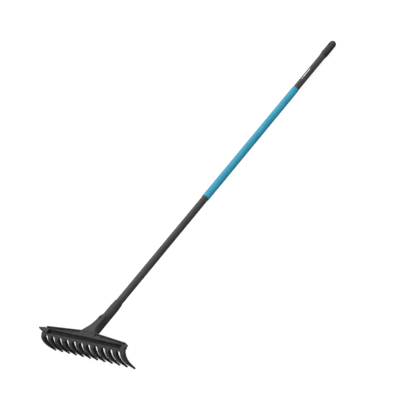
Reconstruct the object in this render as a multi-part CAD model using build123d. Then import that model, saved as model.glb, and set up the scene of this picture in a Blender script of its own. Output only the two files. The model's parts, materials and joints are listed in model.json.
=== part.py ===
from build123d import *
import math
import os

# Leaf rake with a one-piece moulded head, a steel tube handle, a grip sleeve and an end cap.
# Millimetres. Everything is drawn in the tool frame first: X across the head, Y along the handle
# with 0 at the mouth of the socket and + towards the grip end, Z away from the ground. The finished
# pieces are then laid down on the ground, as place_on_ground() does at the end.

# A bar or cone placed by the middle of its lower end
BASE = (Align.CENTER, Align.CENTER, Align.MIN)

# Handle tube
tube_diameter = 25.0
tube_wall = 1.0
tube_low_end = -106.0
tube_high_end = 1452.0

# Grip sleeve, shrunk over the tube
sleeve_diameter = 28.0
sleeve_gap = 0.02
sleeve_start = 533.0
sleeve_length = 648.0
sleeve_edge = 0.9

# End cap with its hang hole
cap_diameter = 29.6
cap_start = 1415.0
cap_length = 83.0
cap_rim_edge = 1.2
dome_radius = 14.3
cap_collar_length = 14.0
cap_collar_diameter = 26.8
cap_plug_length = 30.0
hang_hole_position = 1465.0
hang_hole_radius = 4.0
hang_hole_half_wall = 13.1

# Socket of the head
fit_gap = 0.05
socket_mouth_radius = 14.2
socket_radius = 15.7
socket_taper_length = 26.0
socket_edge = 1.2
socket_bore_depth = 108.0
socket_body_length = 177.0

# Fixing screw, on the upper side of the socket
screw_position = -88.0
screw_head_radius = 4.2
screw_head_height = 2.4
screw_shank_radius = 2.2
screw_length = 13.0
screw_recess_radius = 1.6
screw_seat_level = 16.6
pad_start = -73.0
pad_top = 18.2

# Head: twelve tines below a channel-shaped beam
tine_count = 12
tine_pitch = 34.0
tine_root_width = 14.6
tine_tip_width = 5.0
taper_start = -40.0
gap_top = 13.2
gap_corner = 6.0
tip_level = -70.0
tip_setback = 192.6
below_tips = tip_level - 5.0
tine_line = (tine_count - 1) * tine_pitch / 2
head_half_width = tine_line + tine_root_width / 2
cut_depth = 260.0
side_cut = 20.0

# Beam section, in the Y-Z plane
root_edge = (-200.2, gap_top)
root_top = 16.8
root_outside = -196.2
root_inside = -194.2
flange_top = 19.0
flange_underside = 15.5
flange_back = -175.5
front_wall_face = -172.5
channel_half_length = 182.0
end_wall_thickness = 2.0
rim_top = 24.5
rim_width = 3.0
rim_middle = -154.0
rim_end = -169.8
rim_half_length = 187.0
horn_root = 174.0
horn_middle = 191.0
horn_reach = 207.0
flange_rib_positions = (38.0, 69.0)
rib_width = 2.4


def section(outline, start, end):
    """Solid of a closed Y-Z outline between two X positions."""
    face = Plane.YZ.offset(start) * make_face(Polyline(*outline, close=True))
    return extrude(face, amount=end - start)


def slab(outline, bottom, top):
    """Solid of a closed X-Y outline between two levels."""
    face = Plane.XY.offset(bottom) * make_face(Polyline(*outline, close=True))
    return extrude(face, amount=top - bottom)


def along_handle(radius, start, end):
    """Round bar on the handle axis."""
    return extrude(Plane.XZ.offset(-start) * Circle(radius), amount=start - end)


def turned(outline):
    """Solid turned about the handle axis from (radius, position) points."""
    return revolve(make_face(Polyline(*outline, close=True)), axis=Axis.Y)


def mirrored_pair(solid):
    return solid + mirror(solid, Plane.YZ)


def tine_blade():
    """The curved side profile shared by all tines, as one sheet across the whole head."""
    back = Spline(root_edge, (-205.4, 8.5), (-209.2, -1), (-209.3, -18), (-205.6, -36),
                  (-194.8, tip_level + 3.5))
    tip = ThreePointArc(back @ 1, (-tip_setback, tip_level), (-190.6, tip_level + 3.0))
    front = Spline(tip @ 1, (-196.6, -44), (-199.5, -29), (-199.3, -14), (-195.4, 2), (-189.4, 12))
    top = Line(front @ 1, back @ 0)
    face = Plane.YZ.offset(-head_half_width) * make_face(Wire([back, tip, front, top]))
    return extrude(face, amount=2 * head_half_width)


def tine_gap(position):
    """The space between two tines: a rounded top, upright sides, and a spread at the tips."""
    top_half = (tine_pitch - tine_root_width) / 2
    low_half = (tine_pitch - tine_tip_width) / 2
    outline = [(position - top_half, gap_top), (position + top_half, gap_top),
               (position + top_half, taper_start), (position + low_half, below_tips),
               (position - low_half, below_tips), (position - top_half, taper_start)]
    shape = make_face(Polyline(*outline, close=True))
    shape = fillet(shape.vertices().group_by(Axis.Y)[-1], gap_corner)
    return extrude(Plane.XZ * shape, amount=cut_depth)


def outer_side():
    """What is cut off outside the last tine, so that it narrows like the others."""
    low_side = tine_line + tine_tip_width / 2
    outline = [(head_half_width, taper_start), (head_half_width + side_cut, taper_start),
               (head_half_width + side_cut, below_tips), (low_side, below_tips)]
    face = Plane.XZ * make_face(Polyline(*outline, close=True))
    return extrude(face, amount=cut_depth)


def tines():
    blade = tine_blade()
    for number in range(tine_count - 1):
        blade -= tine_gap((number + 0.5) * tine_pitch - tine_line)
    return blade - mirrored_pair(outer_side())


def beam():
    """Channel that carries the tines: root strip behind, floor, front wall, and a flange on top."""
    root_strip = [root_edge, (root_outside, root_top), (root_inside, root_top)]
    front_wall = [(front_wall_face, flange_top), (front_wall_face, flange_underside),
                  (-176.0, 3.5), (-189.0, 4.2), (-192.5, 6.4)]
    channel = [(-192.4, 9.0), (-190.2, 7.2), (-180.2, 6.8), (-178.2, 9.0),
               (flange_back - 0.8, flange_top)]
    open_part = section(root_strip + channel + front_wall, -channel_half_length, channel_half_length)
    end_wall = section(root_strip + [(flange_back, flange_top)] + front_wall,
                       channel_half_length, channel_half_length + end_wall_thickness)
    end_outline = [root_edge, (root_outside, root_top), (-186.0, 19.4), (front_wall_face, flange_top),
                   (front_wall_face - 0.5, 16.0), (-185.5, 14.0), (-191.0, 10.5)]
    end_block = section(end_outline, channel_half_length, head_half_width)
    return open_part + mirrored_pair(end_wall + end_block)


def flange():
    """Top plate, deepest in the middle, with a raised rim along its two front edges."""
    plate = [(0, flange_back), (horn_middle, flange_back), (horn_middle, rim_end - 4.0),
             (rim_half_length, rim_end), (0, rim_middle)]
    rim = [(0, rim_middle - rim_width), (rim_half_length - 2, rim_end - rim_width + 0.2),
           (rim_half_length, rim_end - 1.4), (rim_half_length - 1.6, rim_end + 0.1), (0, rim_middle)]
    half = slab(plate, flange_underside, flange_top) + slab(rim, flange_underside, rim_top)
    return mirrored_pair(half)


def horn():
    """Pointed ear at each end of the beam."""
    root = [(-193.0, 16.5), (-188.0, 18.2), (-181.0, 19.4), (-173.0, 19.4), (-174.0, 15.6), (-188.0, 9.0)]
    middle = [(-193.0, 18.0), (-189.0, 22.6), (-183.0, 24.6), (-175.0, 24.0), (-176.0, 18.0), (-190.0, 12.5)]
    point = [(-188.0, 28.4), (-187.4, 31.0), (-186.0, 31.8), (-184.6, 31.2), (-184.8, 29.0), (-186.4, 27.4)]
    faces = [Plane.YZ.offset(place) * make_face(Polyline(*outline, close=True))
             for place, outline in ((horn_root, root), (horn_middle, middle), (horn_reach, point))]
    return mirrored_pair(loft(faces, ruled=True))


def flange_ribs():
    """Low ribs across the top of the flange, at the edges of the socket's foot and outside them."""
    ribs = Part()
    for position in flange_rib_positions:
        front = rim_front(position) - 1.0
        outline = [(flange_back - 0.4, flange_underside + 1), (front, flange_underside + 1),
                   (front, rim_top - 1.0), (front - 8, flange_top + 2.0), (flange_back - 0.4, flange_top)]
        ribs += mirrored_pair(section(outline, position - rib_width / 2, position + rib_width / 2))
    return ribs


def front_ribs():
    """Gussets under the flange on the user's side, above the tines between foot and ends."""
    ribs = Part()
    for number in range(1, tine_count // 2 - 1):
        position = (number + 0.5) * tine_pitch
        front = rim_front(position) - 4.0
        outline = [(front, flange_underside + 1), (front_wall_face, flange_underside + 1),
                   (-173.5, 14.0), (-180.0, 5.0), (-184.5, 1.6), (-174.8, 6.0)]
        ribs += mirrored_pair(section(outline, position - rib_width / 2, position + rib_width / 2))
    return ribs


def rim_front(position):
    """Where the flange's front edge lies, at a distance to the side of the middle."""
    return rim_middle + (rim_end - rim_middle) * position / rim_half_length


def socket_frame(position, half_width, bottom, top, upper_corner, lower_corner):
    """Section of the ridge at one place along the handle, with its own upper and lower corners."""
    plane = Plane(origin=(0, position, 0), x_dir=(1, 0, 0), z_dir=(0, -1, 0))
    outline = Pos(0, (bottom + top) / 2) * Rectangle(2 * half_width, top - bottom)
    rows = outline.vertices().group_by(Axis.Y)
    outline = fillet(rows[-1], upper_corner)
    outline = fillet(outline.vertices().group_by(Axis.Y)[0], lower_corner)
    return plane * outline


def socket():
    """Tapered mouth on a round body that is cut away under the beam."""
    body = turned([(0, 0), (socket_mouth_radius - socket_edge, 0), (socket_mouth_radius, -socket_edge),
                   (socket_radius, -socket_taper_length), (socket_radius, -socket_body_length),
                   (0, -socket_body_length)])
    under_beam = section([(-146, -17), (-179, 4.5), (-200, 4.5), (-200, -17)], -20, 20)
    return body - under_beam


def socket_ridge():
    """Raised pad on the upper side of the socket; behind it a ridge that spreads into the flange."""
    ramp = loft([socket_frame(pad_start + 9, 12.5, 0.0, 15.0, 11.5, 3.0),
                 socket_frame(pad_start - 5, 13.8, 0.0, pad_top, 8.0, 3.0)], ruled=True)
    shape = [(pad_start - 5, 13.8, 0.0, pad_top, 8.0), (-95, 14.6, 0.0, 19.4, 7.0),
             (-112, 15.4, 0.0, 20.8, 6.5), (-126, 17.6, 2.0, 22.2, 6.0), (-138, 21.6, 5.0, 23.8, 5.5),
             (-148, 26.8, 9.0, 24.6, 5.0), (-158, 33.0, 12.0, 23.4, 4.5), (-169, 37.6, 12.5, 21.2, 3.5),
             (-176, 38.4, 12.5, 19.2, 2.5)]
    foot = loft([socket_frame(*place, 3.0) for place in shape])
    return ramp + foot


def screw_seat():
    """Counterbore in the pad for the screw's head."""
    return Pos(0, screw_position, screw_seat_level) * Cylinder(screw_head_radius + 1.0, 12, align=BASE)


def socket_bore():
    """Bore for the tube, with the screw's clearance hole."""
    bore = along_handle(tube_diameter / 2 + fit_gap, 5, -socket_bore_depth)
    screw_hole = Pos(0, screw_position, 0) * Cylinder(screw_shank_radius + fit_gap, 30, align=BASE)
    return bore + screw_hole


def rake_head():
    solid = beam() + tines() + flange() + horn() + flange_ribs() + front_ribs() + socket() + socket_ridge()
    return solid - socket_bore() - screw_seat()


def handle_tube():
    outside = along_handle(tube_diameter / 2, tube_low_end, tube_high_end)
    inside = along_handle(tube_diameter / 2 - tube_wall, tube_low_end - 1, tube_high_end + 1)
    screw_hole = Pos(0, screw_position, 0) * Cylinder(screw_shank_radius + fit_gap, 20, align=BASE)
    return outside - inside - screw_hole


def grip_sleeve():
    inner = tube_diameter / 2 + sleeve_gap
    outer = sleeve_diameter / 2
    end = sleeve_start + sleeve_length
    return turned([(inner, sleeve_start), (outer - sleeve_edge, sleeve_start),
                   (outer, sleeve_start + sleeve_edge), (outer, end - sleeve_edge),
                   (outer - sleeve_edge, end), (inner, end)])


def end_cap():
    """Domed cap: a sleeve over the tube's end, a plug inside it, and a hole to hang the rake by."""
    outer = cap_diameter / 2
    inner = tube_diameter / 2 + fit_gap
    plug = tube_diameter / 2 - tube_wall - fit_gap
    seat = tube_high_end + 0.3
    end = cap_start + cap_length
    body = turned([(0, seat - cap_plug_length), (plug - 1, seat - cap_plug_length),
                   (plug, seat - cap_plug_length + 2), (plug, seat), (inner, seat),
                   (inner, cap_start - cap_collar_length),
                   (cap_collar_diameter / 2, cap_start - cap_collar_length),
                   (cap_collar_diameter / 2, cap_start), (outer - cap_rim_edge, cap_start),
                   (outer, cap_start + cap_rim_edge), (dome_radius, end - dome_radius),
                   (dome_radius, end), (0, end)])
    dome = Pos(0, end - dome_radius, 0) * Sphere(dome_radius)
    square_end = along_handle(outer + 1, end - dome_radius, end + 1)
    return (body - square_end) + dome - hang_hole()


def hang_hole():
    """Round hole through the cap, across the handle, opening out at both ends."""
    hole = Pos(0, hang_hole_position, 0) * Cylinder(hang_hole_radius, 2 * cap_diameter)
    mouth = Pos(0, hang_hole_position, hang_hole_half_wall) * Cone(
        hang_hole_radius, hang_hole_radius + 3, 3, align=BASE)
    return hole + mouth + mirror(mouth, Plane.XY)


def fixing_screw():
    """Pan-head screw with a driver recess; its shank passes the socket and the tube's wall."""
    seat = screw_seat_level
    shank = Cylinder(screw_shank_radius, screw_length, align=BASE)
    shank = Pos(0, screw_position, seat - screw_length) * shank
    head = Pos(0, screw_position, seat) * Cylinder(screw_head_radius, screw_head_height, align=BASE)
    head = fillet(head.edges().group_by(Axis.Z)[-1], screw_head_height * 0.6)
    recess = Pos(0, screw_position, seat + 0.8) * Cylinder(screw_recess_radius, screw_head_height, align=BASE)
    return shank + head - recess


def place_on_ground(pieces):
    """Lays the rake on the ground on its tine tips and the cap, centred over the origin."""
    dome_centre = cap_start + cap_length - dome_radius
    tilt = math.degrees(math.atan2(-tip_level - dome_radius, dome_centre + tip_setback))
    turned_pieces = {name: Rot(-tilt, 0, 0) * piece for name, piece in pieces.items()}
    box = Compound(children=[Part() + piece for piece in turned_pieces.values()]).bounding_box()
    shift = Pos(0, -(box.min.Y + box.max.Y) / 2, -box.min.Z)
    print("tilt", round(tilt, 4), "shift", shift.position, "size", box.size)
    return {name: shift * piece for name, piece in turned_pieces.items()}


if __name__ == "__main__":
    os.makedirs("parts", exist_ok=True)
    drawn = {
        "rake_head": rake_head(),
        "handle_tube": handle_tube(),
        "grip_sleeve": grip_sleeve(),
        "end_cap": end_cap(),
        "fixing_screw": fixing_screw(),
    }
    for node, solid in place_on_ground(drawn).items():
        export_step(solid, f"parts/{node}.step")
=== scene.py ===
"""Looks of the rake: materials, floor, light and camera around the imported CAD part. Metres."""

import json
import math

import bpy
from mathutils import Matrix, Vector


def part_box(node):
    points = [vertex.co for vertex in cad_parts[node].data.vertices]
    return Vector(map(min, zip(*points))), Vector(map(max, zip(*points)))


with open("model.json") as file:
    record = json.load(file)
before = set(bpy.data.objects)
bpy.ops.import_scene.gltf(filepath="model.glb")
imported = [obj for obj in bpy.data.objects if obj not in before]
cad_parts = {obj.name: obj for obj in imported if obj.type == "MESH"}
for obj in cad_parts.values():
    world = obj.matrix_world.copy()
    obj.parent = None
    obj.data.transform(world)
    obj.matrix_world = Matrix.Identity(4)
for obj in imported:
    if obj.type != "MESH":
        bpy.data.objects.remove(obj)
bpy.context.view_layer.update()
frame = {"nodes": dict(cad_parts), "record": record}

# ---------------------------------------------------------------- driving values

# The hang hole's centre lies on the handle's axis, and its own axis is the handle's upward side.
HANG_HOLE = next(mount for mount in frame["record"]["mounts"] if mount["name"] == "hang_hole")
HOLE_PLACE = Vector(HANG_HOLE["pos_m"])
HANDLE_UP = Vector(HANG_HOLE["axis"])
HANDLE_SIDE = Vector((1, 0, 0))
TOWARDS_HEAD = HANDLE_SIDE.cross(HANDLE_UP)
TUBE_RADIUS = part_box("handle_tube")[1].x

# Printed mark on the tube, measured from the hang hole towards the head: a plain strip, then a dot
STRIP_START = 0.165
STRIP_END = 0.219
STRIP_HALF_WIDTH = 0.0017
DOT_PLACE = 0.226
DOT_RADIUS = 0.0029
MARK_ANGLE = math.radians(17.0)
PRINT_EDGE = 0.0002
PRINT_GRAIN = 0.0016

# Painted shade (darker colour, weaker reflection) in narrow gaps and close to the floor: how far away
# a surface still counts, the openness at which the painted shade is full and gone, and the heights
# between which it fades out below the beam
PAINTED_SHADE_REACH = 0.070
PAINTED_SHADE_FULL = 0.45
PAINTED_SHADE_NONE = 0.95
PAINTED_SHADE_FADE_START = 0.072
PAINTED_SHADE_FADE_END = 0.080

# Most of a noise texture's values lie between these
NOISE_LOW = 0.3
NOISE_HIGH = 0.7

# Colours, linear
BLACK_MOULDING = (0.022, 0.0225, 0.024, 1)
BLACK_MOULDING_DUSTY = (0.044, 0.044, 0.043, 1)
# Painted shade colour, put into narrow gaps and close to the floor
BLACK_PAINTED_SHADE = (0.008, 0.008, 0.008, 1)
BLACK_SCUFF = (0.150, 0.148, 0.142, 1)
TUBE_COAT = (0.034, 0.0345, 0.036, 1)
TUBE_COAT_WORN = (0.058, 0.058, 0.058, 1)
PRINT_WHITE = (0.82, 0.83, 0.83, 1)
SLEEVE_BLUE = (0.018, 0.350, 0.540, 1)
SLEEVE_BLUE_RUBBED = (0.040, 0.430, 0.600, 1)
SCREW_BLACK = (0.050, 0.050, 0.052, 1)
SCREW_BRIGHT = (0.42, 0.42, 0.41, 1)

# Floor: a grey sheet whose white glow makes it pale
FLOOR_GREY = (0.20, 0.20, 0.20, 1)
FLOOR_GREY_SHADE = (0.18, 0.18, 0.18, 1)
FLOOR_GLOW_COLOUR = (1.0, 1.0, 1.0, 1)
FLOOR_GLOW = 0.88
FLOOR_SIZE = 60.0
FLOOR_DROP = 0.0004

# Light: brightness of the dome straight down, level and straight up, and the soft boxes
DOME_BELOW = 0.12
DOME_SIDE = 0.42
DOME_TOP = 1.02
SOFT_BOXES = (
    {"name": "soft_box_behind", "place": (-1.2, 1.6, 2.3), "size": 2.4, "power": 14},
    {"name": "soft_box_overhead", "place": (0.2, -0.2, 3.2), "size": 2.8, "power": 16},
)

# Camera: the point it looks at, how far away it is, and its angles
AIM = Vector((0.0005, -0.1357, 0.0597))
DISTANCE = 4.06656
AZIMUTH = math.radians(51.798)
ELEVATION = math.radians(32.574)
ROLL = math.radians(-29.10)
LENS = 103.5
SENSOR = 36.0
CLIP_END = 50.0


# ---------------------------------------------------------------- node helpers

class Graph:
    """A material's node tree with short ways to add and join nodes."""

    def __init__(self, name):
        self.material = bpy.data.materials.new(name)
        self.material.use_nodes = True
        self.tree = self.material.node_tree
        self.tree.nodes.clear()
        self.shader = self.add("ShaderNodeBsdfPrincipled")
        output = self.add("ShaderNodeOutputMaterial")
        self.join(self.shader.outputs["BSDF"], output.inputs["Surface"])
        self.place = self.add("ShaderNodeTexCoord").outputs["Object"]

    def add(self, kind, **settings):
        node = self.tree.nodes.new(kind)
        for key, value in settings.items():
            setattr(node, key, value)
        return node

    def join(self, source, target):
        self.tree.links.new(source, target)

    def feed(self, target, value):
        """Sets a socket to a number or colour, or links it to another node's output."""
        if isinstance(value, bpy.types.NodeSocket):
            self.join(value, target)
        else:
            target.default_value = value

    def combine(self, operation, first, second=0.0, clamp=False):
        node = self.add("ShaderNodeMath", operation=operation, use_clamp=clamp)
        self.feed(node.inputs[0], first)
        self.feed(node.inputs[1], second)
        return node.outputs[0]

    def product(self, first, second):
        return self.combine("MULTIPLY", first, second)

    def total(self, first, second):
        return self.combine("ADD", first, second)

    def blend(self, first, second, second_share):
        """Weighted mean of two values."""
        return self.total(self.product(first, 1 - second_share), self.product(second, second_share))

    def dot(self, vector, direction):
        node = self.add("ShaderNodeVectorMath", operation="DOT_PRODUCT")
        self.join(vector, node.inputs[0])
        self.feed(node.inputs[1], direction)
        return node.outputs["Value"]

    def noise(self, size, detail, roughness=0.5, where=None):
        """Noise whose blobs are about `size` metres across."""
        node = self.add("ShaderNodeTexNoise")
        self.join(where or self.place, node.inputs["Vector"])
        node.inputs["Scale"].default_value = 1.0 / size
        node.inputs["Detail"].default_value = detail
        node.inputs["Roughness"].default_value = roughness
        return node.outputs["Fac"]

    def streaks(self, along, across, detail):
        """Noise drawn out along Y: blobs `along` metres long and `across` metres wide."""
        stretch = self.add("ShaderNodeMapping")
        self.join(self.place, stretch.inputs["Vector"])
        stretch.inputs["Scale"].default_value = (1.0 / across, 1.0 / along, 1.0 / across)
        return self.noise(1.0, detail, where=stretch.outputs["Vector"])

    def ramp(self, value, low, high, low_out=0.0, high_out=1.0):
        """Maps low..high of a value to low_out..high_out and holds it beyond them."""
        node = self.add("ShaderNodeMapRange")
        self.feed(node.inputs["Value"], value)
        node.inputs["From Min"].default_value = low
        node.inputs["From Max"].default_value = high
        node.inputs["To Min"].default_value = low_out
        node.inputs["To Max"].default_value = high_out
        return node.outputs["Result"]

    def vary(self, noise, low_out, high_out):
        """Spreads a noise over low_out..high_out."""
        return self.ramp(noise, NOISE_LOW, NOISE_HIGH, low_out, high_out)

    def mix(self, share, first, second):
        node = self.add("ShaderNodeMix", data_type="RGBA")
        self.feed(node.inputs["Factor"], share)
        self.feed(node.inputs["A"], first)
        self.feed(node.inputs["B"], second)
        return node.outputs["Result"]

    def bump(self, heights, strength, normal=None):
        """Bump from a list of (height value, depth in metres), on top of a normal if one is given."""
        for height, depth in heights:
            node = self.add("ShaderNodeBump")
            node.inputs["Strength"].default_value = strength
            node.inputs["Distance"].default_value = depth
            self.join(height, node.inputs["Height"])
            if normal:
                self.join(normal, node.inputs["Normal"])
            normal = node.outputs["Normal"]
        return normal

    def rounded(self, radius):
        """A normal that rounds every hard edge by `radius`."""
        node = self.add("ShaderNodeBevel", samples=6)
        node.inputs["Radius"].default_value = radius
        return node.outputs["Normal"]

    def edge_share(self, radius):
        """1 where the surface turns sharply within `radius`, 0 on open faces."""
        flat = self.add("ShaderNodeNewGeometry").outputs["Normal"]
        return self.ramp(self.dot(self.rounded(radius), flat), low=0.97, high=0.80)

    def height(self):
        """How high above the ground the point is."""
        split = self.add("ShaderNodeSeparateXYZ")
        self.join(self.place, split.inputs[0])
        return split.outputs["Z"]

    def openness(self, reach):
        """1 on open faces, towards 0 in narrow gaps and corners within `reach` metres."""
        node = self.add("ShaderNodeAmbientOcclusion", samples=8)
        node.inputs["Distance"].default_value = reach
        return node.outputs["AO"]

    def finish(self, colour, roughness, normal, specular=0.5):
        self.feed(self.shader.inputs["Base Color"], colour)
        self.feed(self.shader.inputs["Roughness"], roughness)
        self.feed(self.shader.inputs["Normal"], normal)
        self.feed(self.shader.inputs["Specular IOR Level"], specular)
        return self.material


# ---------------------------------------------------------------- materials

def unshaded_share(g):
    """Share free of painted shade: 0 in narrow gaps and close to the floor, 1 on open faces and on
    everything from the beam up.
    """
    open_share = g.ramp(g.openness(PAINTED_SHADE_REACH), PAINTED_SHADE_FULL, PAINTED_SHADE_NONE)
    above = g.ramp(g.height(), PAINTED_SHADE_FADE_START, PAINTED_SHADE_FADE_END)
    return g.combine("MAXIMUM", open_share, above)


def black_moulding(name, grain, gloss):
    """Moulded black plastic: spark grain, cloudy flow marks, scuffed edges, and painted shade in the
    gaps and close to the floor.
    """
    g = Graph(name)
    flow = g.noise(size=0.035, detail=3)
    speckle = g.noise(size=0.0022, detail=2)
    scuffs = g.noise(size=0.010, detail=6, roughness=0.65)
    wear = g.product(g.edge_share(0.0012), g.ramp(scuffs, low=0.50, high=0.72))
    unshaded = unshaded_share(g)

    dust = g.ramp(g.blend(flow, speckle, 0.3), low=0.36, high=0.66)
    colour = g.mix(dust, BLACK_MOULDING, BLACK_MOULDING_DUSTY)
    colour = g.mix(g.product(wear, 0.35), colour, BLACK_SCUFF)
    # Painted shade: near-black colour in narrow gaps and close to the floor, where shade falls
    colour = g.mix(unshaded, BLACK_PAINTED_SHADE, colour)

    rough = g.total(g.vary(flow, gloss, gloss + 0.10), g.vary(speckle, -0.03, 0.05))
    rough = g.combine("ADD", rough, g.product(wear, 0.12), clamp=True)
    # Painted shade: weaker reflection in the same gaps and close to the floor
    specular = g.ramp(unshaded, low=0.0, high=1.0, low_out=0.12, high_out=0.5)
    texture = g.noise(grain, detail=2)
    normal = g.bump([(texture, 0.00006), (flow, 0.0004)], 0.6, g.rounded(0.0009))
    return g.finish(colour, rough, normal, specular)


def printed_mark(g):
    """1 inside the strip and the dot, 0 outside, with slightly patchy ink."""
    shift = g.add("ShaderNodeVectorMath", operation="SUBTRACT")
    g.join(g.place, shift.inputs[0])
    shift.inputs[1].default_value = HOLE_PLACE
    along, upward, sideways = (
        g.dot(shift.outputs[0], direction) for direction in (TOWARDS_HEAD, HANDLE_UP, HANDLE_SIDE)
    )
    angle = g.combine("ARCTAN2", sideways, upward)
    across = g.product(g.combine("SUBTRACT", angle, MARK_ANGLE), TUBE_RADIUS)

    half_length = (STRIP_END - STRIP_START) / 2
    from_middle = g.combine("SUBTRACT", along, STRIP_START + half_length)
    strip = g.product(
        inside(g, g.combine("ABSOLUTE", from_middle), half_length),
        inside(g, g.combine("ABSOLUTE", across), STRIP_HALF_WIDTH),
    )
    from_dot = g.combine("SUBTRACT", along, DOT_PLACE)
    squares = g.total(g.product(from_dot, from_dot), g.product(across, across))
    dot = inside(g, g.combine("SQRT", squares), DOT_RADIUS)
    ink = g.ramp(g.noise(PRINT_GRAIN, detail=4), low=0.28, high=0.42, low_out=0.55)
    return g.product(g.combine("MAXIMUM", strip, dot), ink)


def inside(g, distance, limit):
    """1 where a distance is less than a limit, 0 where it is more, with a narrow soft edge."""
    return g.ramp(distance, limit + PRINT_EDGE, limit - PRINT_EDGE)


def tube_coating():
    """Dark powder coat with fine orange peel, rubbed streaks along it, and a white strip and dot."""
    g = Graph("tube_powder_coat")
    streak = g.streaks(along=0.060, across=0.0035, detail=5)
    peel = g.noise(size=0.0011, detail=2)
    cloud = g.noise(size=0.045, detail=3)
    worn = g.ramp(g.blend(streak, cloud, 0.4), low=0.38, high=0.68)
    coat = g.mix(worn, TUBE_COAT, TUBE_COAT_WORN)
    colour = g.mix(printed_mark(g), coat, PRINT_WHITE)
    rough = g.total(g.vary(streak, 0.34, 0.46), g.vary(peel, -0.03, 0.04))
    normal = g.bump([(peel, 0.00005), (streak, 0.00003)], 0.5)
    return g.finish(colour, rough, normal)


def sleeve_plastic():
    """Blue shrunk-on sleeve: faint lengthwise drawing marks, cloudy tone and rubbed patches."""
    g = Graph("sleeve_blue_plastic")
    drawn = g.streaks(along=0.120, across=0.0022, detail=4)
    cloud = g.noise(size=0.030, detail=3)
    fine = g.noise(size=0.0013, detail=2)
    rubbed = g.ramp(g.blend(drawn, cloud, 0.6), low=0.40, high=0.66)
    colour = g.mix(rubbed, SLEEVE_BLUE, SLEEVE_BLUE_RUBBED)
    rough = g.total(g.vary(cloud, 0.38, 0.50), g.vary(fine, -0.03, 0.04))
    normal = g.bump([(fine, 0.00004), (drawn, 0.00006), (cloud, 0.0003)], 0.5, g.rounded(0.0004))
    return g.finish(colour, rough, normal)


def screw_steel():
    """Blackened steel with a fine grain and the blacking worn off the edges."""
    g = Graph("screw_blackened_steel")
    fine = g.noise(size=0.0006, detail=4)
    patches = g.noise(size=0.0012, detail=5)
    worn = g.product(g.edge_share(0.0004), g.ramp(patches, low=0.42, high=0.62))
    colour = g.mix(g.product(worn, 0.6), SCREW_BLACK, SCREW_BRIGHT)
    g.feed(g.shader.inputs["Metallic"], g.ramp(worn, 0.0, 1.0, low_out=0.25, high_out=0.8))
    return g.finish(colour, g.vary(fine, 0.32, 0.48), g.bump([(fine, 0.00003)], 0.5))


def floor_paper():
    """Plain paper with a faint tooth. It glows white, so that shadows on it stay faint."""
    g = Graph("floor_paper")
    cloud = g.noise(size=0.9, detail=2)
    tooth = g.noise(size=0.004, detail=3)
    colour = g.mix(g.ramp(cloud, low=0.35, high=0.65), FLOOR_GREY, FLOOR_GREY_SHADE)
    g.feed(g.shader.inputs["Emission Color"], FLOOR_GLOW_COLOUR)
    g.feed(g.shader.inputs["Emission Strength"], FLOOR_GLOW)
    return g.finish(colour, g.vary(tooth, 0.82, 0.92), g.bump([(tooth, 0.0001)], 0.3), specular=0.2)


def dress(node, material):
    slots = frame["nodes"][node].data.materials
    slots.clear()
    slots.append(material)


dress("rake_head", black_moulding("head_black_plastic", grain=0.0012, gloss=0.40))
dress("end_cap", black_moulding("cap_black_plastic", grain=0.0009, gloss=0.42))
dress("handle_tube", tube_coating())
dress("grip_sleeve", sleeve_plastic())
dress("fixing_screw", screw_steel())


# ---------------------------------------------------------------- floor and light

def floor():
    """The sheet under the rake. Only the camera sees it, so it doesn't brighten the undersides."""
    bpy.ops.mesh.primitive_plane_add(size=FLOOR_SIZE, location=(0, 0, -FLOOR_DROP))
    sheet = bpy.context.object
    sheet.name = "floor_sheet"
    sheet.data.materials.append(floor_paper())
    sheet.visible_diffuse = False
    sheet.visible_glossy = False


def soft_box(name, place, size, power):
    """A square soft box that faces the middle of the rake."""
    lamp = bpy.data.lights.new(name, "AREA")
    lamp.shape = "SQUARE"
    lamp.size = size
    lamp.energy = power
    holder = bpy.data.objects.new(name, lamp)
    holder.location = place
    holder.rotation_euler = (-Vector(place)).to_track_quat("-Z", "Y").to_euler()
    bpy.context.scene.collection.objects.link(holder)


def dome():
    """A soft surround: bright overhead, dimmer at the sides and nearly dark below."""
    world = bpy.data.worlds.new("soft_dome")
    world.use_nodes = True
    nodes = world.node_tree.nodes
    links = world.node_tree.links
    split = nodes.new("ShaderNodeSeparateXYZ")
    lift = nodes.new("ShaderNodeMapRange")
    ramp = nodes.new("ShaderNodeValToRGB")
    lift.inputs["From Min"].default_value = -1.0
    links.new(nodes.new("ShaderNodeTexCoord").outputs["Generated"], split.inputs[0])
    links.new(split.outputs["Z"], lift.inputs["Value"])
    links.new(lift.outputs["Result"], ramp.inputs["Fac"])
    links.new(ramp.outputs["Color"], nodes["Background"].inputs["Color"])
    ramp.color_ramp.elements.new(0.5)
    for stop, brightness in zip(ramp.color_ramp.elements, (DOME_BELOW, DOME_SIDE, DOME_TOP)):
        stop.color = (brightness, brightness, brightness, 1)
    bpy.context.scene.world = world


floor()
dome()
for box in SOFT_BOXES:
    soft_box(**box)
bpy.context.scene.view_settings.view_transform = "Standard"


# ---------------------------------------------------------------- camera

def photo_camera():
    """Looks at the aim from the given azimuth and elevation, rolled about the line of sight."""
    back = Vector((
        math.cos(ELEVATION) * math.sin(AZIMUTH),
        -math.cos(ELEVATION) * math.cos(AZIMUTH),
        math.sin(ELEVATION),
    ))
    level_right = Vector((0, 0, 1)).cross(back).normalized()
    level_up = back.cross(level_right)
    right = level_right * math.cos(ROLL) + level_up * math.sin(ROLL)
    up = level_up * math.cos(ROLL) - level_right * math.sin(ROLL)
    lens = bpy.data.cameras.new("photo_camera")
    lens.lens = LENS
    lens.sensor_width = SENSOR
    lens.clip_end = CLIP_END
    camera = bpy.data.objects.new("photo_camera", lens)
    turn = Matrix((right, up, back)).transposed()
    camera.matrix_world = Matrix.Translation(AIM + back * DISTANCE) @ turn.to_4x4()
    bpy.context.scene.collection.objects.link(camera)
    bpy.context.scene.camera = camera


photo_camera()
